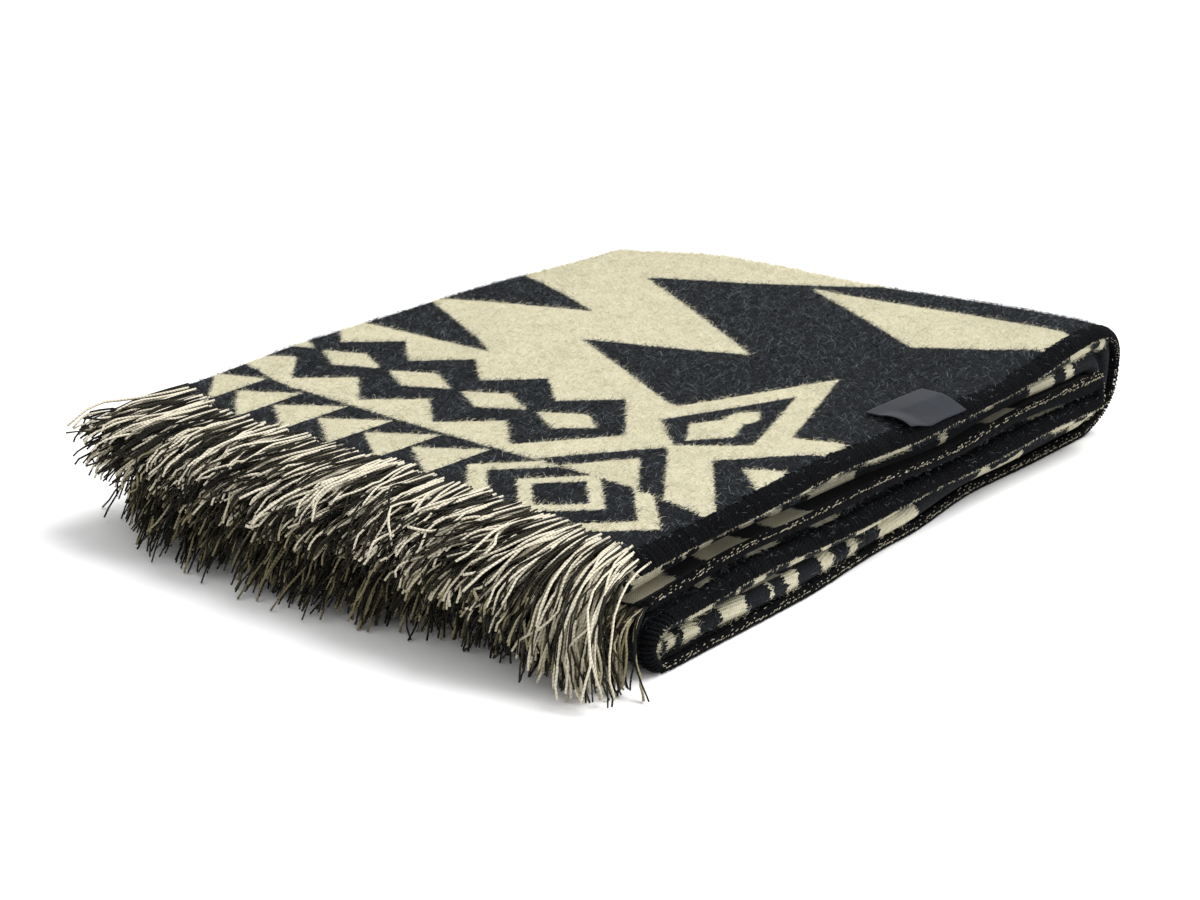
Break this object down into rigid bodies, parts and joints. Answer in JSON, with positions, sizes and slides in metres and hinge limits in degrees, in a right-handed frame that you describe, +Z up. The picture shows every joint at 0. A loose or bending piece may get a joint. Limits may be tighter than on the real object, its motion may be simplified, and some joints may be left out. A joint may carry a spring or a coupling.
{
  "type": "throw blanket",
  "caption": "Thick brushed throw blanket with a yarn fringe and a small sewn label, folded flat into a rectangular stack that rests on its base.",
  "frame": {"origin": "middle of the base of the whole part's box, on the surface that it rests on", "axes": "+X from the fringed end to the folded end, +Y from the side with the open edges to the side with the long creases, +Z up"},
  "size_m": [0.5704, 0.4108, 0.0799],
  "materials": {
    "cloth": "brushed acrylic and wool weave, charcoal and cream",
    "fringe": "loose cut yarns, black and cream",
    "label": "dark grey satin"
  },
  "bodies": {
    "root": {"cloth": "cloth", "fringe_1": "fringe", "fringe_2": "fringe", "fringe_3": "fringe", "fringe_4": "fringe", "fringe_5": "fringe", "fringe_6": "fringe", "label": "label"}
  },
  "joints": []
}
